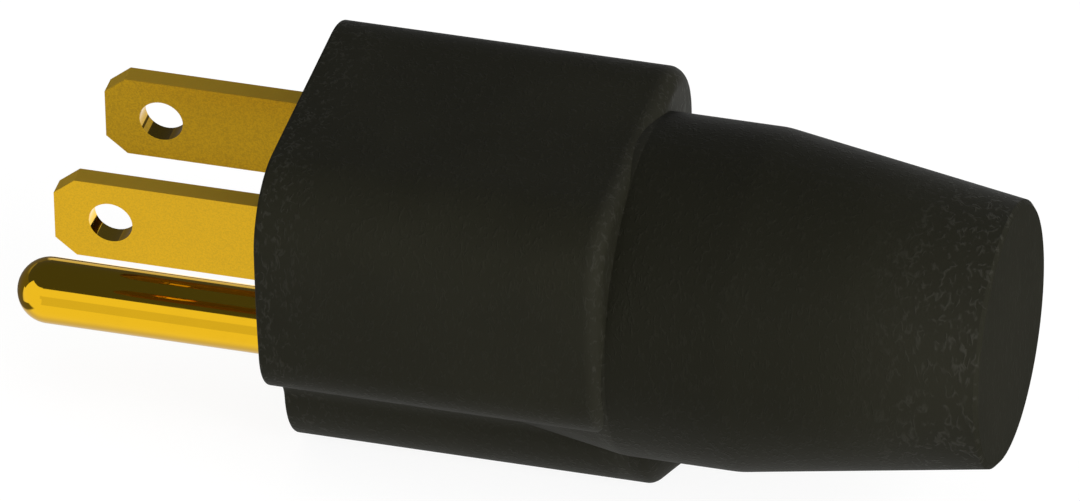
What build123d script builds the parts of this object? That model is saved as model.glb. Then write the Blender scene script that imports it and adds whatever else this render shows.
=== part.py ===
from build123d import *
from math import atan2, cos, degrees, radians, sin, sqrt, tan
import os

# Neutral bonding plug: a three-prong mains plug with no cord. Inside the moulded housing a
# stamped link ties the neutral blade to the ground pin.
# Millimetres. The origin is the middle of the mating face, halfway between the two blades.
# The prongs point to -X, the barrel runs to +X, and +Z is up, away from the ground pin.

# Blades and ground pin
blade_spacing = 12.7
blade_width = 6.35
blade_thickness = 1.524
blade_length = 16.2
blade_tip_run = 1.54
blade_tip_cut = 1.28
blade_hole_diameter = 3.175
blade_hole_from_tip = 4.1
pin_diameter = 4.78
pin_length = 21.35
pin_drop = 11.89
pin_shank_diameter = 4.2

# Housing: the block behind the mating face
block_length = 25.0
block_width = 25.7
block_top = 8.33
top_corner_radius = 5.3
side_bow_radius = 90.0
side_widest_height = 2.0
shoulder_radius = 4.8
shoulder_drop = 5.65
underside_slope = 36.0
flare_radius = 2.6
front_edge_radius = 0.25
rear_edge_radius = 1.2

# Housing: the round keel under the block, which carries the ground pin
keel_radius = 6.7
keel_drop = 12.83
keel_overhang = 3.1
keel_chamfer = 2.05
keel_blend_radius = 1.0

# Housing: the barrel, coned at both ends
barrel_radius = 12.18
barrel_drop = 3.86
barrel_length = 26.15
barrel_rear_radius = 9.48
cone_length = 17.79
cone_blend_radius = 6.0
rim_chamfer = 0.3
nose_angle = 9.5

# Contact carrier, moulded first and buried behind the mating face
face_skin = 2.0
carrier_thickness = 4.5
carrier_wall = 2.6

# Tails of the contacts, behind their stops
stop_thickness = 1.0
blade_stop_overhang = 1.0
pin_stop_overhang = 1.1
tang_width = 3.2
tang_length = 6.5
tang_corner_cut = 0.6
spigot_diameter = 3.2
rivet_head_overhang = 0.8
rivet_head_height = 0.7

# Bonding link, pushed over the neutral blade's tang and riveted on the pin's spigot
link_thickness = 1.2
link_wall = 1.4

# Places worked out from the sizes above
half_width = block_width / 2
blade_offset = blade_spacing / 2
carrier_rear = face_skin + carrier_thickness
stop_rear = carrier_rear + stop_thickness
tang_end = stop_rear + tang_length
link_rear = stop_rear + link_thickness
pin_rear = link_rear + rivet_head_height
pin_radius = pin_diameter / 2
shank_radius = pin_shank_diameter / 2
spigot_radius = spigot_diameter / 2
rivet_head_radius = spigot_radius + rivet_head_overhang
pin_axis = Axis((0, 0, -pin_drop), (1, 0, 0))
NEUTRAL_SIDE = -1
LINE_SIDE = 1


def on_circle(centre, radius, angle):
    """Returns the point of a circle at an angle in degrees."""
    return (centre[0] + radius * cos(radians(angle)), centre[1] + radius * sin(radians(angle)))


def heading(start, end):
    """Returns the angle in degrees of the line from one point to another."""
    return degrees(atan2(end[1] - start[1], end[0] - start[0]))


def centre_inside_bow(bow_centre, radius, height):
    """Returns the centre of an arc that touches the bowed side from within, at a height."""
    reach = side_bow_radius - radius
    return (bow_centre[0] + sqrt(reach**2 - (height - bow_centre[1]) ** 2), height)


# Block outline: arcs of its right half, in the plane of the mating face
bow_centre = (half_width - side_bow_radius, side_widest_height)
corner_centre = centre_inside_bow(bow_centre, top_corner_radius, block_top - top_corner_radius)
shoulder_centre = centre_inside_bow(bow_centre, shoulder_radius, -shoulder_drop)
corner_angle = heading(bow_centre, corner_centre)
shoulder_angle = heading(bow_centre, shoulder_centre)
keel_centre = (0, -keel_drop)

# The underside is a straight slope, and a flare turns it down into the round keel
normal_angle = underside_slope - 90
normal = (cos(radians(normal_angle)), sin(radians(normal_angle)))
slope_distance = normal[0] * shoulder_centre[0] + normal[1] * shoulder_centre[1] + shoulder_radius
flare_depth = slope_distance + flare_radius
keel_depth = normal[0] * keel_centre[0] + normal[1] * keel_centre[1]
keel_side = normal[0] * keel_centre[1] - normal[1] * keel_centre[0]
flare_side = keel_side + sqrt((keel_radius + flare_radius) ** 2 - (flare_depth - keel_depth) ** 2)
flare_centre = (
    flare_depth * normal[0] - flare_side * normal[1],
    flare_depth * normal[1] + flare_side * normal[0],
)
flare_angle = heading(keel_centre, flare_centre)

# Barrel and keel places along the plug's length. The barrel starts inside the block, level with
# the ends of the tangs, and everything further back is taken from the block's rear.
barrel_front = tang_end
barrel_front_radius = barrel_radius - (block_length - barrel_front) * tan(radians(nose_angle))
barrel_rear = block_length + barrel_length
cone_start = barrel_rear - cone_length
barrel_axis = Axis((0, 0, -barrel_drop), (1, 0, 0))
keel_start = block_length - 2 * rear_edge_radius
keel_rear = block_length + keel_overhang


def contact_blade(side):
    """Returns a stamped blade with its stop ears and tang, on one side of the plug."""
    with BuildPart() as blade:
        with BuildSketch(Plane.XZ.offset(-side * blade_offset)):
            with BuildLine():
                Polyline(
                    (-blade_length, 0),
                    (-blade_length, blade_width / 2 - blade_tip_cut),
                    (-blade_length + blade_tip_run, blade_width / 2),
                    (carrier_rear, blade_width / 2),
                    (carrier_rear, blade_width / 2 + blade_stop_overhang),
                    (stop_rear, blade_width / 2 + blade_stop_overhang),
                    (stop_rear, tang_width / 2),
                    (tang_end - tang_corner_cut, tang_width / 2),
                    (tang_end, tang_width / 2 - tang_corner_cut),
                    (tang_end, 0),
                )
                mirror(about=Plane.XZ)
            make_face()
            with Locations((-blade_length + blade_hole_from_tip, 0)):
                Circle(blade_hole_diameter / 2, mode=Mode.SUBTRACT)
        extrude(amount=blade_thickness / 2, both=True)
    return blade


neutral_blade = contact_blade(NEUTRAL_SIDE)
line_blade = contact_blade(LINE_SIDE)

# Ground pin: round nose, a shank that narrows at the mating face so that the moulding grips it,
# a stop collar, and a spigot whose end is spread into a rivet head
with BuildPart() as ground_pin:
    with BuildSketch(Plane.XZ):
        with BuildLine():
            Line((pin_rear, -pin_drop), (-pin_length, -pin_drop))
            CenterArc((-pin_length + pin_radius, -pin_drop), pin_radius, 180, -90)
            Polyline(
                (-pin_length + pin_radius, -pin_drop + pin_radius),
                (0, -pin_drop + pin_radius),
                (0, -pin_drop + shank_radius),
                (carrier_rear, -pin_drop + shank_radius),
                (carrier_rear, -pin_drop + pin_radius + pin_stop_overhang),
                (stop_rear, -pin_drop + pin_radius + pin_stop_overhang),
                (stop_rear, -pin_drop + spigot_radius),
                (link_rear, -pin_drop + spigot_radius),
                (link_rear, -pin_drop + rivet_head_radius),
                (pin_rear, -pin_drop + spigot_radius),
                (pin_rear, -pin_drop),
            )
        make_face()
    revolve(axis=pin_axis)

# Contact carrier: a plate with rounded corners, moulded with a slot or bore for each contact
with BuildPart() as contact_carrier:
    with BuildSketch(Plane.YZ.offset(face_skin)):
        with Locations((-blade_offset, 0), (blade_offset, 0)):
            RectangleRounded(
                blade_thickness + 2 * carrier_wall,
                blade_width + 2 * carrier_wall,
                carrier_wall,
            )
        with Locations((0, -pin_drop)):
            Circle(shank_radius + carrier_wall)
        make_hull()
        with Locations((-blade_offset, 0), (blade_offset, 0)):
            Rectangle(blade_thickness, blade_width, mode=Mode.SUBTRACT)
        with Locations((0, -pin_drop)):
            Circle(shank_radius, mode=Mode.SUBTRACT)
    extrude(amount=carrier_thickness)

# Bonding link: a flat plate with a slot for the neutral blade's tang and an eye for the spigot
with BuildPart() as bonding_link:
    with BuildSketch(Plane.YZ.offset(stop_rear)):
        with Locations((NEUTRAL_SIDE * blade_offset, 0)):
            RectangleRounded(blade_thickness + 2 * link_wall, tang_width + 2 * link_wall, link_wall)
        with Locations((0, -pin_drop)):
            Circle(spigot_radius + link_wall)
        make_hull()
        with Locations((NEUTRAL_SIDE * blade_offset, 0)):
            Rectangle(blade_thickness, tang_width, mode=Mode.SUBTRACT)
        with Locations((0, -pin_drop)):
            Circle(spigot_radius, mode=Mode.SUBTRACT)
    extrude(amount=link_thickness)

# Keel end: the keel runs on past the block to a chamfered end with softened edges
with BuildPart() as keel_end:
    with BuildSketch(Plane.YZ.offset(keel_start)):
        with Locations((0, -keel_drop)):
            Circle(keel_radius)
    extrude(amount=keel_rear - keel_start)
    chamfer(keel_end.faces().sort_by(Axis.X)[-1].edges(), keel_chamfer)
    fillet(keel_end.edges().filter_by(GeomType.CIRCLE).sort_by(Axis.X)[-2:], keel_blend_radius)

# Barrel: widest where it leaves the block, with one cone running forwards inside it and a longer
# one running back to the flat end
with BuildPart() as barrel:
    with BuildSketch(Plane.XZ):
        with BuildLine():
            FilletPolyline(
                (barrel_front, -barrel_drop),
                (barrel_front, -barrel_drop + barrel_front_radius),
                (block_length, -barrel_drop + barrel_radius),
                (cone_start, -barrel_drop + barrel_radius),
                (barrel_rear, -barrel_drop + barrel_rear_radius),
                (barrel_rear, -barrel_drop),
                radius=[0, cone_blend_radius, cone_blend_radius, 0],
            )
            Line((barrel_rear, -barrel_drop), (barrel_front, -barrel_drop))
        make_face()
    revolve(axis=barrel_axis)
    chamfer(barrel.faces().sort_by(Axis.X)[-1].edges(), rim_chamfer)

# Housing: block, keel and barrel in one moulding, closed round what it holds
with BuildPart() as housing:
    with BuildSketch(Plane.YZ):
        with BuildLine():
            Line((0, block_top), (corner_centre[0], block_top))
            CenterArc(corner_centre, top_corner_radius, 90, corner_angle - 90)
            CenterArc(bow_centre, side_bow_radius, corner_angle, shoulder_angle - corner_angle)
            CenterArc(shoulder_centre, shoulder_radius, shoulder_angle, normal_angle - shoulder_angle)
            Line(
                on_circle(shoulder_centre, shoulder_radius, normal_angle),
                on_circle(flare_centre, flare_radius, normal_angle + 180),
            )
            CenterArc(flare_centre, flare_radius, normal_angle + 180, flare_angle - normal_angle)
            CenterArc(keel_centre, keel_radius, flare_angle, -90 - flare_angle)
            Line((0, -keel_drop - keel_radius), (0, block_top))
        make_face()
        mirror(about=Plane.YZ)
    extrude(amount=block_length)
    fillet(housing.faces().sort_by(Axis.X)[0].edges(), front_edge_radius)
    fillet(housing.faces().sort_by(Axis.X)[-1].edges(), rear_edge_radius)

    add(barrel.part)
    add(keel_end.part)
    add(contact_carrier.part, mode=Mode.SUBTRACT)
    add(neutral_blade.part, mode=Mode.SUBTRACT)
    add(line_blade.part, mode=Mode.SUBTRACT)
    add(ground_pin.part, mode=Mode.SUBTRACT)
    add(bonding_link.part, mode=Mode.SUBTRACT)

housing.part.label = "housing"
contact_carrier.part.label = "contact_carrier"
neutral_blade.part.label = "neutral_blade"
line_blade.part.label = "line_blade"
ground_pin.part.label = "ground_pin"
bonding_link.part.label = "bonding_link"

os.makedirs("parts", exist_ok=True)
export_step(housing.part, "parts/housing.step")
export_step(contact_carrier.part, "parts/contact_carrier.step")
export_step(neutral_blade.part, "parts/neutral_blade.step")
export_step(line_blade.part, "parts/line_blade.step")
export_step(ground_pin.part, "parts/ground_pin.step")
export_step(bonding_link.part, "parts/bonding_link.step")
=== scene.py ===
import logging
import math
from dataclasses import dataclass, field
from enum import Enum
from typing import Any, Sequence

import bpy
from mathutils import Matrix, Vector


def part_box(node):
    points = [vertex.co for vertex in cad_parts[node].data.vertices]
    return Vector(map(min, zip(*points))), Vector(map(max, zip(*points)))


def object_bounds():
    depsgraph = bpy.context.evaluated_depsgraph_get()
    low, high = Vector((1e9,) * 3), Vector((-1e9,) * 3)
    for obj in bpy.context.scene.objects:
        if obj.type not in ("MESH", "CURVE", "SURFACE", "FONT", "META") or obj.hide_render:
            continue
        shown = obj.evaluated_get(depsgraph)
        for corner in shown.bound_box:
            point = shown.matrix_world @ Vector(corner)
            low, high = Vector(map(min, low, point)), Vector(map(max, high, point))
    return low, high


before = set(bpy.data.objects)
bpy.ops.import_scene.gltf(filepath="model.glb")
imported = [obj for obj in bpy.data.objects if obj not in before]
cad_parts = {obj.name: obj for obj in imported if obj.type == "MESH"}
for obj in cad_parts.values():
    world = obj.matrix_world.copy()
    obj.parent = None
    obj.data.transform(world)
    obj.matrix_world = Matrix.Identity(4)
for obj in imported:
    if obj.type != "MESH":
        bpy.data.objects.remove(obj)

log = logging.getLogger("bonding_plug")
cad_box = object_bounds()

MM = 0.001
Colour = tuple[float, float, float]
Span = tuple[float, float]
WHITE: Colour = (1.0, 1.0, 1.0)


class Prong(Enum):
    """The two blades, by the CAD node that each one is."""

    NEUTRAL = "neutral_blade"
    LINE = "line_blade"


class LampPlace(Enum):
    """Where a lamp stands round the plug, as seen from the camera."""

    FRONT = "front"
    RIGHT = "right"
    OVERHEAD = "overhead"


class Channel:
    """A number that flows through a shader, with Python's operators.

    Args:
        sheet: The sheet whose node tree the maths is added to.
        socket: The output socket that carries the number.
    """

    def __init__(self, sheet: "Sheet", socket: bpy.types.NodeSocket) -> None:
        """Keeps the sheet and the socket."""
        self.sheet = sheet
        self.socket = socket

    def _maths(self, operation: str, *values: "Channel | float") -> "Channel":
        """Adds one Math node.

        Args:
            operation: The node's operation, such as MULTIPLY.
            values: The numbers or channels that it works on.

        Returns:
            The channel that leaves the node.
        """
        node = self.sheet.node("ShaderNodeMath", {"operation": operation}, values)
        return Channel(self.sheet, node.outputs[0])

    def __add__(self, other: "Channel | float") -> "Channel":
        """The sum."""
        return self._maths("ADD", self, other)

    __radd__ = __add__

    def __sub__(self, other: "Channel | float") -> "Channel":
        """The difference."""
        return self._maths("SUBTRACT", self, other)

    def __rsub__(self, other: float) -> "Channel":
        """A plain number less this channel."""
        return self._maths("SUBTRACT", other, self)

    def __mul__(self, other: "Channel | float") -> "Channel":
        """The product."""
        return self._maths("MULTIPLY", self, other)

    __rmul__ = __mul__

    def __lt__(self, other: "Channel | float") -> "Channel":
        """1 where this channel is less, else 0."""
        return self._maths("LESS_THAN", self, other)

    def __abs__(self) -> "Channel":
        """The size without its sign."""
        return self._maths("ABSOLUTE", self)

    def larger(self, other: "Channel | float") -> "Channel":
        """The larger of the two."""
        return self._maths("MAXIMUM", self, other)

    def root(self) -> "Channel":
        """The square root."""
        return self._maths("SQRT", self)

    def swapped_for(self, other: "Channel | float", share: "Channel") -> "Channel":
        """Goes over to another number.

        Args:
            other: The number that it goes over to.
            share: 0 where this channel stays, 1 where the other takes its place.

        Returns:
            The mixed number.
        """
        return self * (1 - share) + other * share

    def ramp(self, low: float, high: float) -> "Channel":
        """A smooth step.

        Args:
            low: The value at which the step starts from 0.
            high: The value at which it reaches 1. It may be below low.

        Returns:
            The step, between 0 and 1.
        """
        settings = {"interpolation_type": "SMOOTHSTEP"}
        values = {"Value": self, "From Min": low, "From Max": high, "To Min": 0.0, "To Max": 1.0}
        node = self.sheet.node("ShaderNodeMapRange", settings, values)
        return Channel(self.sheet, node.outputs["Result"])


class Sheet:
    """The node sheet of one material or of the world.

    Args:
        tree: The node tree to draw on. It is emptied first.
    """

    def __init__(self, tree: bpy.types.NodeTree) -> None:
        """Empties the tree."""
        self.tree = tree
        tree.nodes.clear()

    def node(
        self,
        kind: str,
        settings: dict[str, Any] | None = None,
        values: dict[str, Any] | Sequence[Any] = (),
    ) -> bpy.types.Node:
        """Adds a node, makes its settings and then fills its sockets.

        Args:
            kind: The node's type.
            settings: Its properties.
            values: Its inputs, by name or in order: numbers, colours, sockets or channels.

        Returns:
            The new node.
        """
        made = self.tree.nodes.new(kind)
        for name, value in (settings or {}).items():
            setattr(made, name, value)
        pairs = values.items() if isinstance(values, dict) else enumerate(values)
        for key, value in pairs:
            self._fill(made.inputs[key], value)
        return made

    def _fill(self, socket: bpy.types.NodeSocket, value: Any) -> None:
        """Links or sets one input.

        Args:
            socket: The input.
            value: A channel, a socket, a number, or a colour or vector.
        """
        if isinstance(value, Channel):
            self.tree.links.new(value.socket, socket)
        elif isinstance(value, bpy.types.NodeSocket):
            self.tree.links.new(value, socket)
        elif socket.type == "RGBA" and len(value) == 3:
            socket.default_value = (*value, 1.0)
        else:
            socket.default_value = value

    def place(self) -> bpy.types.NodeSocket:
        """The point on the surface, in the part's own frame, in metres."""
        return self.node("ShaderNodeTexCoord").outputs["Object"]

    def facing(self) -> tuple[Channel, Channel, Channel]:
        """The X, Y and Z channels of the way in which the surface faces."""
        return self.axes(self.node("ShaderNodeNewGeometry").outputs["Normal"])

    def ray(self, kind: str) -> Channel:
        """1 for one kind of ray, such as Is Camera Ray, else 0."""
        return Channel(self, self.node("ShaderNodeLightPath").outputs[kind])

    def axes(self, vector: bpy.types.NodeSocket) -> tuple[Channel, Channel, Channel]:
        """Splits a vector.

        Args:
            vector: The vector's socket.

        Returns:
            Its X, Y and Z channels.
        """
        split = self.node("ShaderNodeSeparateXYZ", None, [vector])
        return tuple(Channel(self, out) for out in split.outputs)

    def stretched(
        self, vector: bpy.types.NodeSocket, scale: Sequence[float]
    ) -> bpy.types.NodeSocket:
        """Scales a vector axis by axis.

        Args:
            vector: The vector's socket.
            scale: The three factors. A pattern is drawn out along an axis with a small one.

        Returns:
            The scaled vector.
        """
        values = {"Vector": vector, "Scale": scale}
        return self.node("ShaderNodeMapping", {"vector_type": "POINT"}, values).outputs["Vector"]

    def noise(
        self,
        vector: bpy.types.NodeSocket,
        grain: float,
        detail: float = 2.0,
        roughness: float = 0.5,
        distortion: float = 0.0,
    ) -> Channel:
        """Smooth noise.

        Args:
            vector: Where the noise is read, in metres.
            grain: The size of one patch, in metres.
            detail: How many finer layers are added.
            roughness: How strong the finer layers are.
            distortion: How far the patches are twisted.

        Returns:
            The noise, mostly between 0.3 and 0.7.
        """
        values = {
            "Vector": vector,
            "Scale": 1.0 / grain,
            "Detail": detail,
            "Roughness": roughness,
            "Distortion": distortion,
        }
        return Channel(self, self.node("ShaderNodeTexNoise", None, values).outputs["Fac"])

    def pebbles(
        self, vector: bpy.types.NodeSocket, grain: float, smoothness: float = 0.6
    ) -> Channel:
        """Rounded cells.

        Args:
            vector: Where the cells are read, in metres.
            grain: The size of one cell, in metres.
            smoothness: How far the valleys between the cells are rounded.

        Returns:
            The distance to the middle of the cell, from 0 to about 1.
        """
        settings = {"feature": "SMOOTH_F1"}
        values = {"Vector": vector, "Scale": 1.0 / grain, "Smoothness": smoothness}
        cells = self.node("ShaderNodeTexVoronoi", settings, values)
        return Channel(self, cells.outputs["Distance"])

    def blend(self, factor: Channel, first: Any, second: Any) -> bpy.types.NodeSocket:
        """Mixes two colours.

        Args:
            factor: 0 for the first colour, 1 for the second.
            first: A colour or a colour socket.
            second: A colour or a colour socket.

        Returns:
            The mixed colour.
        """
        made = self.node("ShaderNodeMix", {"data_type": "RGBA", "clamp_factor": True})
        sockets = {s.identifier: s for s in made.inputs}
        self._fill(sockets["Factor_Float"], factor)
        self._fill(sockets["A_Color"], first)
        self._fill(sockets["B_Color"], second)
        return next(s for s in made.outputs if s.identifier == "Result_Color")

    def bump(self, height: Channel, depth: float) -> bpy.types.NodeSocket:
        """Turns a height into a surface normal.

        Args:
            height: The height, from 0 to 1.
            depth: What a height of 1 measures, in metres.

        Returns:
            The normal.
        """
        values = {"Height": height, "Distance": depth, "Strength": 1.0}
        return self.node("ShaderNodeBump", None, values).outputs["Normal"]

    def surface(self, **sockets: Any) -> None:
        """Ends the sheet in one Principled shader.

        Args:
            sockets: Its inputs by name, with underscores for spaces.
        """
        values = {name.replace("_", " "): value for name, value in sockets.items()}
        shader = self.node("ShaderNodeBsdfPrincipled", None, values)
        self.node("ShaderNodeOutputMaterial", None, {"Surface": shader.outputs["BSDF"]})


@dataclass(frozen=True)
class Finish:
    """What every finish has: a name, and a way to make its material."""

    name: str

    def material(self) -> bpy.types.Material:
        """Makes the material.

        Returns:
            The new material, with this finish drawn on its sheet.
        """
        made = bpy.data.materials.new(self.name)
        made.use_nodes = True
        self.draw(Sheet(made.node_tree))
        return made

    def draw(self, sheet: Sheet) -> None:
        """Draws the finish on a sheet.

        Args:
            sheet: The material's empty sheet.
        """
        raise NotImplementedError


@dataclass(frozen=True)
class LeatherGrain:
    """Short ridges that wander and break off, as a spark-eroded mould leaves them.

    The pitch is the distance between ridges, in metres, and break_scale is a part of it. The
    span gives where a smooth step starts and where it ends.
    """

    pitch: float
    stretch: tuple[float, float, float] = (1.0, 0.8, 0.5)
    twist: float = 0.5
    line_detail: float = 1.5
    middle: float = 0.5
    thinness: float = 11.0
    break_scale: float = 0.8
    break_detail: float = 1.0
    break_span: Span = (0.46, 0.6)

    def draw(self, sheet: Sheet) -> Channel:
        """Draws the ridges.

        Args:
            sheet: The material's sheet.

        Returns:
            Their height, from 0 between the ridges to 1 along their tops.
        """
        place = sheet.stretched(sheet.place(), self.stretch)
        line = sheet.noise(place, self.pitch, detail=self.line_detail, distortion=self.twist)
        broken = sheet.noise(place, self.pitch * self.break_scale, detail=self.break_detail)
        ridge = (1 - abs(line - self.middle) * self.thinness).larger(0.0)
        return ridge * broken.ramp(*self.break_span)


@dataclass(frozen=True)
class MouldedVinyl(Finish):
    """Olive-black vinyl with the leather grain of its mould.

    The tops of its grain carry a painted sheen, stronger round the mating face and along the
    block's rear edge, where a painted highlight also lies. It is coarser towards the rear rim, with
    a painted sheen on the coarse grain and a painted highlight there, and the barrel's front is
    darkened with painted shade, most of all on top. A span gives where a smooth step starts and
    where it ends: edge_span is counted from the block's rear edge, and rim_span from the rear rim.
    """

    dark: Colour
    light: Colour
    painted_shade: Colour
    painted_sheen: Colour
    front: float
    shoulder: float
    rear: float
    fine: LeatherGrain = LeatherGrain(pitch=0.45 * MM)
    coarse: LeatherGrain = LeatherGrain(pitch=0.6 * MM)
    skin_grain: float = 0.2025 * MM
    grain_depth: float = 0.025 * MM
    front_reach: float = 5 * MM
    cone: float = 40 * MM
    edge_span: Span = (-1.6 * MM, -0.5 * MM)
    edge_margin: float = 0.05 * MM
    rim_span: Span = (-0.2 * MM, -0.05 * MM)
    rim_fade: float = 0.8
    shade_along: Span = (46 * MM, 36 * MM)
    shade_up: Span = (-13 * MM, -4 * MM)
    shade_below: float = 0.2
    shade_above: float = 0.75
    plain_sheen: float = 0.07
    front_sheen: float = 0.4
    edge_sheen: float = 0.3
    rear_sheen: float = 0.55
    edge_highlight: float = 0.1
    rear_highlight: float = 0.09
    coarse_height: float = 1.4
    skin_height: float = 0.25
    patch: float = 9 * MM
    patch_detail: float = 3.0
    patch_span: Span = (0.35, 0.68)
    matt: float = 0.58
    patch_matt: float = 0.08
    sheen_polish: float = 0.1
    gloss: float = 0.07

    def draw(self, sheet: Sheet) -> None:
        """Draws the vinyl on a sheet.

        Args:
            sheet: The material's empty sheet.
        """
        place = sheet.place()
        along, _, up = sheet.axes(place)
        near_front = along.ramp(self.front + self.front_reach, self.front)
        near_rear = along.ramp(self.cone, self.rear)
        flat_end = (along - self.rear).ramp(*self.rim_span)
        on_block = along < self.shoulder + self.edge_margin
        block_edge = (along - self.shoulder).ramp(*self.edge_span) * on_block

        fine = self.fine.draw(sheet) * (1 - near_rear)
        coarse = self.coarse.draw(sheet) * (1 - flat_end * self.rim_fade) * near_rear
        skin = sheet.pebbles(place, self.skin_grain)
        height = fine + coarse * self.coarse_height + skin * self.skin_height

        # Painted sheen on the grain tops, stronger near the mating face, and painted highlights
        # along the block's rear edge and over the rear cone.
        sheen_share = self.plain_sheen + near_front * self.front_sheen + block_edge * self.edge_sheen
        painted_sheen = fine * sheen_share + coarse * self.rear_sheen
        painted_sheen = painted_sheen + near_rear * self.rear_highlight + block_edge * self.edge_highlight

        patches = sheet.noise(place, self.patch, detail=self.patch_detail)
        # Painted shade over the barrel's front behind the block, darker towards its top.
        depth = self.shade_below + up.ramp(*self.shade_up) * self.shade_above
        shade_share = (1 - on_block) * along.ramp(*self.shade_along) * depth
        plain = sheet.blend(patches.ramp(*self.patch_span), self.dark, self.light)
        plain = sheet.blend(shade_share, plain, self.painted_shade)
        sheet.surface(
            Base_Color=sheet.blend(painted_sheen, plain, self.painted_sheen),
            Roughness=self.matt + patches * self.patch_matt - painted_sheen * self.sheen_polish,
            Specular_IOR_Level=self.gloss,
            Normal=sheet.bump(height, self.grain_depth),
        )


@dataclass(frozen=True)
class SatinBlade(Finish):
    """Tumbled brass plate with sheared edges and a hole that the punch left bright.

    The hole is found by its distance from the hole's axis, in the blade's own plane. A surface
    that faces sideways by less than edge_from is a sheared edge. Those have a faint film, and
    the ones that face downwards are darkened with painted shade.
    """

    face: Colour
    tarnish: Colour
    edge: Colour
    shaded_under_edge: Colour
    specks: float
    hole_middle: tuple[float, float]
    hole_radius: float
    hole_margin: float = 0.02 * MM
    edge_from: float = 0.5
    underside_from: float = -0.3
    speck_grain: float = 0.12 * MM
    speck_roughness: float = 0.7
    speck_span: Span = (0.35, 0.7)
    cloud: float = 5 * MM
    cloud_span: Span = (0.3, 0.8)
    cloud_weight: float = 0.12
    stripe_pitch: float = 0.08 * MM
    stripe_stretch: tuple[float, float, float] = (1.0, 0.05, 1.0)
    plate_matt: float = 0.33
    speck_matt: float = 0.1
    punched_matt: float = 0.06
    sheared_matt: float = 0.6
    stripe_matt: float = 0.16
    film: float = 0.06
    speck_height: float = 0.7
    stripe_height: float = 0.8
    relief_depth: float = 0.006 * MM

    def draw(self, sheet: Sheet) -> None:
        """Draws the plate on a sheet.

        Args:
            sheet: The material's empty sheet.
        """
        place = sheet.place()
        along, _, up = sheet.axes(place)
        across_hole = along - self.hole_middle[0]
        up_hole = up - self.hole_middle[1]
        from_hole = (across_hole * across_hole + up_hole * up_hole).root()
        punched = from_hole < self.hole_radius + self.hole_margin
        _, sideways, upward = sheet.facing()
        sheared = (abs(sideways) < self.edge_from) * (1 - punched)
        # Sheared edges that face downwards get painted shade.
        shaded_underside = sheared * (upward < self.underside_from)

        speckle = sheet.noise(place, self.speck_grain, roughness=self.speck_roughness)
        cloud = sheet.noise(place, self.cloud).ramp(*self.cloud_span)
        lines = sheet.stretched(place, self.stripe_stretch)
        stripes = sheet.noise(lines, self.stripe_pitch, detail=1.0)

        dulled = cloud * self.cloud_weight + speckle.ramp(*self.speck_span) * self.specks
        colour = sheet.blend(dulled, self.face, self.tarnish)
        colour = sheet.blend(sheared, colour, self.edge)
        colour = sheet.blend(shaded_underside, colour, self.shaded_under_edge)
        matt = self.plate_matt + speckle * self.speck_matt
        matt = matt.swapped_for(self.punched_matt, punched)
        matt = matt.swapped_for(self.sheared_matt + stripes * self.stripe_matt, sheared)
        relief = speckle * self.speck_height * (1 - punched)
        relief = relief + stripes * sheared * self.stripe_height
        sheet.surface(
            Base_Color=colour,
            Metallic=1 - sheared * self.film,
            Roughness=matt,
            Normal=sheet.bump(relief, self.relief_depth),
        )


@dataclass(frozen=True)
class PolishedPin(Finish):
    """Turned and polished brass, with the faintest rings left by the tool."""

    face: Colour
    tarnish: Colour
    ring_pitch: float = 0.12 * MM
    ring_stretch: tuple[float, float, float] = (1.0, 0.02, 0.02)
    smear: float = 3 * MM
    smear_detail: float = 4.0
    smear_roughness: float = 0.6
    tarnish_span: Span = (0.45, 0.8)
    tarnish_weight: float = 0.35
    matt_span: Span = (0.4, 0.8)
    matt: float = 0.035
    smear_matt: float = 0.05
    ring_matt: float = 0.02
    ring_depth: float = 0.0006 * MM

    def draw(self, sheet: Sheet) -> None:
        """Draws the pin on a sheet.

        Args:
            sheet: The material's empty sheet.
        """
        place = sheet.place()
        rings = sheet.noise(sheet.stretched(place, self.ring_stretch), self.ring_pitch, detail=1.0)
        smear = sheet.noise(
            place, self.smear, detail=self.smear_detail, roughness=self.smear_roughness
        )
        tarnished = smear.ramp(*self.tarnish_span) * self.tarnish_weight
        smeared = smear.ramp(*self.matt_span)
        sheet.surface(
            Base_Color=sheet.blend(tarnished, self.face, self.tarnish),
            Metallic=1.0,
            Roughness=self.matt + smeared * self.smear_matt + rings * self.ring_matt,
            Normal=sheet.bump(rings, self.ring_depth),
        )


@dataclass(frozen=True)
class RolledBrass(Finish):
    """Brass strip as it is rolled, with streaks along the sheet."""

    face: Colour
    tarnish: Colour
    streak_pitch: float = 0.15 * MM
    streak_stretch: tuple[float, float, float] = (1.0, 1.0, 0.05)
    stain: float = 2.5 * MM
    stain_detail: float = 4.0
    stain_span: Span = (0.35, 0.75)
    matt: float = 0.3
    streak_matt: float = 0.2
    streak_depth: float = 0.003 * MM

    def draw(self, sheet: Sheet) -> None:
        """Draws the strip on a sheet.

        Args:
            sheet: The material's empty sheet.
        """
        place = sheet.place()
        streaks = sheet.noise(sheet.stretched(place, self.streak_stretch), self.streak_pitch)
        stain = sheet.noise(place, self.stain, detail=self.stain_detail)
        sheet.surface(
            Base_Color=sheet.blend(stain.ramp(*self.stain_span), self.face, self.tarnish),
            Metallic=1.0,
            Roughness=self.matt + streaks * self.streak_matt,
            Normal=sheet.bump(streaks, self.streak_depth),
        )


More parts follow.
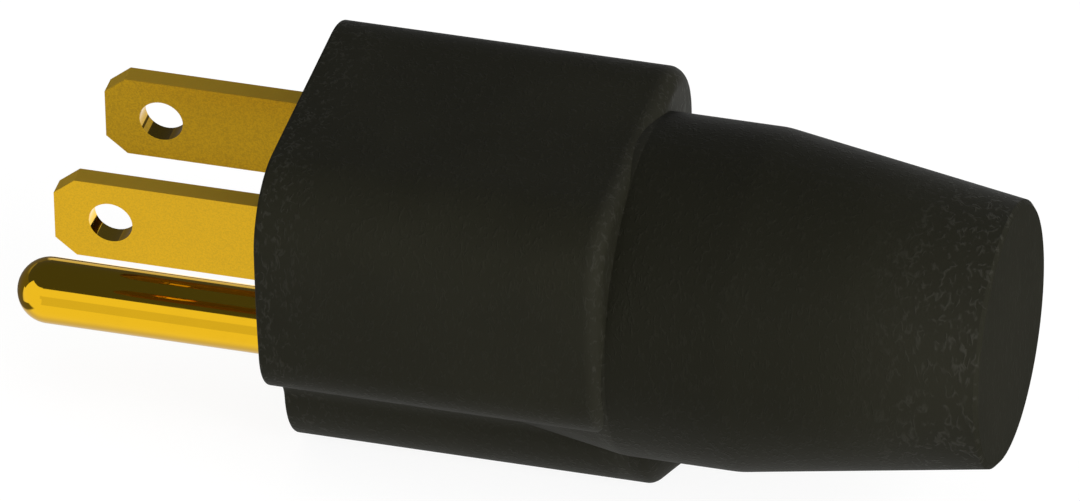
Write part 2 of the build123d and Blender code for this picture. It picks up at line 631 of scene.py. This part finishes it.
@dataclass(frozen=True)
class CarrierPlastic(Finish):
    """Plain bone-coloured plastic with flow lines."""

    face: Colour
    shade: Colour
    flow: float = 5 * MM
    flow_detail: float = 3.0
    flow_twist: float = 1.5
    flow_span: Span = (0.3, 0.7)
    skin: float = 0.2 * MM
    matt: float = 0.42
    flow_matt: float = 0.15
    skin_depth: float = 0.008 * MM

    def draw(self, sheet: Sheet) -> None:
        """Draws the plastic on a sheet.

        Args:
            sheet: The material's empty sheet.
        """
        place = sheet.place()
        flow = sheet.noise(place, self.flow, detail=self.flow_detail, distortion=self.flow_twist)
        skin = sheet.noise(place, self.skin)
        sheet.surface(
            Base_Color=sheet.blend(flow.ramp(*self.flow_span), self.face, self.shade),
            Roughness=self.matt + flow * self.flow_matt,
            Normal=sheet.bump(skin, self.skin_depth),
        )


def dress_node(node: str, finish: Finish) -> None:
    """Puts one finish on every face of a CAD node.

    Args:
        node: The node's name.
        finish: The finish to give it.
    """
    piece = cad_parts[node]
    piece.data.materials.clear()
    piece.data.materials.append(finish.material())
    log.info("%s is dressed in %s", node, finish.name)


@dataclass
class Housing:
    """The moulded housing, one CAD node: a block with a keel, and the coned barrel behind it."""

    node: str = "housing"
    block_length: float = 25 * MM

    def dress(self) -> None:
        """Gives the housing its vinyl."""
        low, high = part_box(self.node)
        vinyl = MouldedVinyl(
            name="moulded_vinyl",
            dark=(0.0112, 0.0109, 0.0064),
            light=(0.0128, 0.0125, 0.0075),
            # Darker colour for the painted shade on the barrel's front.
            painted_shade=(0.0092, 0.0090, 0.0053),
            # Pale colour for the painted sheen and painted highlights on the grain.
            painted_sheen=(0.034, 0.033, 0.026),
            front=low[0],
            shoulder=self.block_length,
            rear=high[0],
        )
        dress_node(self.node, vinyl)


@dataclass(frozen=True)
class BladeLook:
    """The share of its brass colour that a blade keeps, from 0 to 1, where less than 1 is painted
    shade, and how strongly it is speckled.
    """

    shade: float
    specks: float


@dataclass
class Contacts:
    """The two blades and the ground pin, which are CAD nodes."""

    pin: str = "ground_pin"
    hole_from_tip: float = 4.1 * MM
    hole_radius: float = 1.5875 * MM
    face: Colour = (0.875, 0.514, 0.0215)
    tarnish: Colour = (0.66, 0.39, 0.0235)
    edge: Colour = (1.0, 0.66, 0.045)
    # Colour for the painted shade on the sheared edges that face downwards.
    shaded_under_edge: Colour = (0.15, 0.075, 0.012)
    looks: dict[Prong, BladeLook] = field(
        default_factory=lambda: {
            Prong.NEUTRAL: BladeLook(shade=1.0, specks=0.55),
            # The line blade's brass is darkened with painted shade.
            Prong.LINE: BladeLook(shade=0.615, specks=1.0),
        }
    )

    def dress(self) -> None:
        """Gives the blades their tumbled brass and the pin its polish."""
        for prong, look in self.looks.items():
            self._dress_blade(prong, look)
        polish = PolishedPin(
            name="polished_pin", face=(0.85, 0.495, 0.0145), tarnish=(0.79, 0.46, 0.015)
        )
        dress_node(self.pin, polish)

    def _dress_blade(self, prong: Prong, look: BladeLook) -> None:
        """Gives one blade its tumbled brass.

        Args:
            prong: The blade.
            look: Its painted shade and how speckled its brass is.
        """
        low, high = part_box(prong.value)
        satin = SatinBlade(
            name=f"satin_{prong.value}",
            face=tuple(value * look.shade for value in self.face),
            tarnish=tuple(value * look.shade for value in self.tarnish),
            edge=self.edge,
            shaded_under_edge=self.shaded_under_edge,
            specks=look.specks,
            hole_middle=(low[0] + self.hole_from_tip, (low[2] + high[2]) / 2),
            hole_radius=self.hole_radius,
        )
        dress_node(prong.value, satin)


@dataclass
class Insides:
    """What the housing closes in: the contact carrier and the bonding link."""

    carrier: str = "contact_carrier"
    link: str = "bonding_link"

    def dress(self) -> None:
        """Gives the carrier its plastic and the link its rolled brass."""
        bone = CarrierPlastic(
            name="carrier_plastic", face=(0.56, 0.52, 0.42), shade=(0.48, 0.44, 0.35)
        )
        dress_node(self.carrier, bone)
        strip = RolledBrass(
            name="rolled_brass", face=(0.72, 0.46, 0.12), tarnish=(0.5, 0.31, 0.1)
        )
        dress_node(self.link, strip)


def direction(azimuth: float, elevation: float) -> Vector:
    """The direction from the plug to a place round it.

    Args:
        azimuth: Degrees round the plug; 0 is in front of the near side.
        elevation: Degrees above the table.

    Returns:
        A vector of length 1.
    """
    a, e = math.radians(azimuth), math.radians(elevation)
    return Vector((math.sin(a) * math.cos(e), -math.cos(a) * math.cos(e), math.sin(e)))


@dataclass(frozen=True)
class MetalGlow:
    """The light that the brass sees in the table and in the walls, where 1 is white.

    The stripe's value is a part of the bright one.
    """

    bright: float = 1.0
    stripe: float = 0.8
    dark: float = 0.13


@dataclass
class TableTop:
    """The white table under the plug's keel.

    To the camera it is nearly plain white and keeps the plug's shadow. The brass sees a painted
    glow on it: it has a slightly dimmer stripe in front and a painted shadow of the plug in a
    dimmer band under it, it is brightest behind the plug, dark past the barrel's end, and dark to
    the left of the pin's nose, apart from the front. Spans are in metres, along the plug from its
    mating face or across it from its middle.
    across it from its middle.
    """

    size: float = 8.0
    paint: Colour = (0.86, 0.86, 0.85)
    seen_white: float = 1.07
    seen_share: float = 0.84
    dark_left: Span = (-25.5 * MM, -27 * MM)
    far_left: Span = (-32 * MM, -33.5 * MM)
    far_left_front: Span = (-1 * MM, -2.5 * MM)
    front: Span = (-7 * MM, -10 * MM)
    under_front: Span = (-6 * MM, -1 * MM)
    under_back: Span = (9 * MM, 6 * MM)
    under_light: float = 0.7
    behind: Span = (6 * MM, 11 * MM)
    behind_boost: float = 0.3
    past_along: Span = (44 * MM, 56 * MM)
    past_across: Span = (-30 * MM, -8 * MM)
    past_light: float = 0.13
    stripe_across: Span = (-22 * MM, -25 * MM)
    stripe_start: Span = (-21 * MM, -20 * MM)
    stripe_slant: float = 0.306

    def lay(self, glow: MetalGlow) -> None:
        """Lays the table and paints it.

        Args:
            glow: The light that the brass sees.
        """
        bottom = cad_box[0][2]
        half = self.size / 2
        square = ((-half, -half), (half, -half), (half, half), (-half, half))
        corners = [(x, y, bottom) for x, y in square]
        mesh = bpy.data.meshes.new("table_top")
        mesh.from_pydata(corners, [], [(0, 1, 2, 3)])
        table = bpy.data.objects.new("table_top", mesh)
        bpy.context.scene.collection.objects.link(table)
        mesh.materials.append(self._white(glow))
        log.info("table top laid at %.2f mm", bottom / MM)

    def _white(self, glow: MetalGlow) -> bpy.types.Material:
        """Makes the table's white.

        Args:
            glow: The light that the brass sees.

        Returns:
            The material.
        """
        material = bpy.data.materials.new("white_table")
        material.use_nodes = True
        sheet = Sheet(material.node_tree)
        seen = sheet.ray("Is Camera Ray")
        in_metal = sheet.ray("Is Glossy Ray").larger(sheet.ray("Is Transmission Ray"))
        strength = seen * self.seen_white + in_metal * self._lit(sheet, glow)
        paint = sheet.node("ShaderNodeBsdfDiffuse", None, {"Color": self.paint})
        light = sheet.node("ShaderNodeEmission", None, {"Color": WHITE, "Strength": strength})
        share = seen * self.seen_share + in_metal
        mixed = sheet.node("ShaderNodeMixShader", None, [share, paint.outputs[0], light.outputs[0]])
        sheet.node("ShaderNodeOutputMaterial", None, {"Surface": mixed.outputs[0]})
        return material

    def _lit(self, sheet: Sheet, glow: MetalGlow) -> Channel:
        """The light of the table top as the brass sees it.

        Args:
            sheet: The table's sheet.
            glow: The light that the brass sees.

        Returns:
            The strength of the light.
        """
        along, across, _ = sheet.axes(sheet.place())
        from_nose = (along - across * self.stripe_slant).ramp(*self.stripe_start)
        stripe = across.ramp(*self.stripe_across) * from_nose
        lit = glow.bright * (1 - stripe * (1 - glow.stripe))
        # A painted shadow of the plug, in the glow that the brass sees under it.
        painted_plug_shadow = across.ramp(*self.under_front) * across.ramp(*self.under_back)
        lit = lit.swapped_for(self.under_light, painted_plug_shadow)
        lit = lit * (1 + across.ramp(*self.behind) * self.behind_boost)
        past_barrel = along.ramp(*self.past_along) * across.ramp(*self.past_across)
        lit = lit.swapped_for(self.past_light, past_barrel)
        far_left = along.ramp(*self.far_left) * across.ramp(*self.far_left_front)
        pale = far_left.larger(across.ramp(*self.front))
        return lit.swapped_for(glow.dark, along.ramp(*self.dark_left) * (1 - pale))


@dataclass
class Room:
    """The room round the table: white to the camera, and plain soft light on the plug.

    The brass sees a pale front wall with a slightly dimmer foot, a pale back wall, a dark left
    side with a faint window, and a dark bluish ceiling. Spans are parts of a direction of
    length 1, and ceiling_edge is counted from the top of the wall.
    """

    side_light: float = 0.62
    top_light: float = 0.45
    top_span: Span = (0.2, 0.9)
    front_slant: float = 0.186
    front_span: Span = (-0.105, -0.125)
    stripe_side: Span = (-0.42, -0.40)
    stripe_up: Span = (0.2, 0.16)
    back_side: Span = (-0.36, -0.30)
    back_light: float = 0.72
    window: tuple[float, float, float] = (-0.71, 0.54, 0.45)
    window_span: Span = (0.93, 1.0)
    window_light: float = 0.22
    front_wall_top: float = 0.585
    back_wall_top: float = 0.32
    ceiling_edge: Span = (-0.012, 0.012)
    ceiling_light: float = 0.07
    ceiling_colour: Colour = (0.94, 1.07, 2.5)

    def light(self, glow: MetalGlow) -> None:
        """Lights the room.

        Args:
            glow: The light that the brass sees.
        """
        world = bpy.data.worlds.new("studio_room")
        world.use_nodes = True
        bpy.context.scene.world = world
        sheet = Sheet(world.node_tree)
        looking = sheet.axes(sheet.node("ShaderNodeTexCoord").outputs["Generated"])
        in_metal = sheet.ray("Is Glossy Ray")
        seen = sheet.ray("Is Camera Ray")
        top = looking[2].ramp(*self.top_span)
        soft = self.side_light * (1 - top) + self.top_light * top
        walls, ceiling = self._walls(looking, glow)
        strength = soft.swapped_for(1.0, seen).swapped_for(walls, in_metal)
        colour = sheet.blend(ceiling * in_metal, WHITE, self.ceiling_colour)
        values = {"Color": colour, "Strength": strength}
        ground = sheet.node("ShaderNodeBackground", None, values)
        sheet.node("ShaderNodeOutputWorld", None, {"Surface": ground.outputs[0]})
        log.info("room lit at %.2f", self.side_light)

    def _walls(
        self, looking: tuple[Channel, Channel, Channel], glow: MetalGlow
    ) -> tuple[Channel, Channel]:
        """The light of the walls and the ceiling as the brass sees them.

        Args:
            looking: The X, Y and Z channels of the direction.
            glow: The light that the brass sees.

        Returns:
            The strength of the light in each direction, and 1 where the ceiling is, else 0.
        """
        side, back, up = looking
        front = (back + up * self.front_slant).ramp(*self.front_span)
        beside = side.ramp(*self.back_side) * (1 - front)
        left = (1 - front) * (1 - beside)
        stripe = side.ramp(*self.stripe_side) * up.ramp(*self.stripe_up)
        front_light = glow.bright * (1 - stripe * (1 - glow.stripe))
        to_window = side * self.window[0] + back * self.window[1] + up * self.window[2]
        left_light = glow.dark + to_window.ramp(*self.window_span) * self.window_light
        walls = front * front_light + beside * self.back_light + left * left_light
        wall_top = self.front_wall_top * front + self.back_wall_top * (1 - front)
        ceiling = (up - wall_top).ramp(*self.ceiling_edge)
        return walls.swapped_for(self.ceiling_light, ceiling), ceiling


@dataclass(frozen=True)
class Lamp:
    """One soft round lamp, aimed at the plug's middle. It isn't seen in the brass."""

    stand: LampPlace
    azimuth: float
    elevation: float
    distance: float
    size: float
    power: float

    def hang(self, aim: Vector) -> None:
        """Hangs the lamp.

        Args:
            aim: The point that it shines at.
        """
        name = f"lamp_{self.stand.value}"
        light = bpy.data.lights.new(name, "AREA")
        light.shape = "DISK"
        light.size = self.size
        light.energy = self.power
        holder = bpy.data.objects.new(name, light)
        bpy.context.scene.collection.objects.link(holder)
        away = direction(self.azimuth, self.elevation)
        holder.location = aim + away * self.distance
        holder.rotation_mode = "QUATERNION"
        holder.rotation_quaternion = (-away).to_track_quat("-Z", "Y")
        holder.visible_glossy = False
        holder.visible_camera = False
        log.info("%s hung at %.2f m", name, self.distance)


@dataclass
class CameraStand:
    """The camera at the photograph's angle. Its long lens leaves nearly no perspective."""

    lens: float = 760.0
    sensor: float = 36.0
    azimuth: float = 16.289
    elevation: float = 35.429
    roll: float = -1.494
    distance: float = 1599.2 * MM
    clip: Span = (0.01, 40.0)

    def place(self, aim: Vector) -> None:
        """Sets the camera up.

        Args:
            aim: The point in the middle of the picture.
        """
        data = bpy.data.cameras.new("camera")
        data.lens = self.lens
        data.sensor_width = self.sensor
        data.clip_start, data.clip_end = self.clip
        camera = bpy.data.objects.new("camera", data)
        bpy.context.scene.collection.objects.link(camera)
        away = direction(self.azimuth, self.elevation)
        level = Vector((0, 0, 1)).cross(away).normalized()
        upright = away.cross(level)
        turn = math.radians(self.roll)
        right = level * math.cos(turn) + upright * math.sin(turn)
        top = upright * math.cos(turn) - level * math.sin(turn)
        turned = Matrix((right, top, away)).transposed().to_4x4()
        camera.matrix_world = Matrix.Translation(aim + away * self.distance) @ turned
        bpy.context.scene.camera = camera
        log.info("camera placed at %.2f m", self.distance)


@dataclass
class Studio:
    """The white table, the room's light, the lamps and the camera."""

    aim: tuple[float, float, float] = (16.508 * MM, 1.970 * MM, -3.850 * MM)
    glow: MetalGlow = MetalGlow()
    lamps: tuple[Lamp, ...] = (
        Lamp(LampPlace.FRONT, azimuth=12.0, elevation=14.0, distance=0.9, size=0.7, power=2.8),
        Lamp(LampPlace.RIGHT, azimuth=72.0, elevation=24.0, distance=0.9, size=0.6, power=7.4),
        Lamp(LampPlace.OVERHEAD, azimuth=20.0, elevation=82.0, distance=1.2, size=1.2, power=2.0),
    )

    def build(self) -> None:
        """Builds the table, the room, the lamps and the camera."""
        aim = Vector(self.aim)
        TableTop().lay(self.glow)
        Room().light(self.glow)
        for lamp in self.lamps:
            lamp.hang(aim)
        CameraStand().place(aim)
        bpy.context.scene.view_settings.view_transform = "Standard"


def main() -> None:
    """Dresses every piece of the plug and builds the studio."""
    logging.basicConfig(level=logging.INFO, format="%(message)s")
    Housing().dress()
    Contacts().dress()
    Insides().dress()
    Studio().build()


if __name__ == "__main__":
    main()
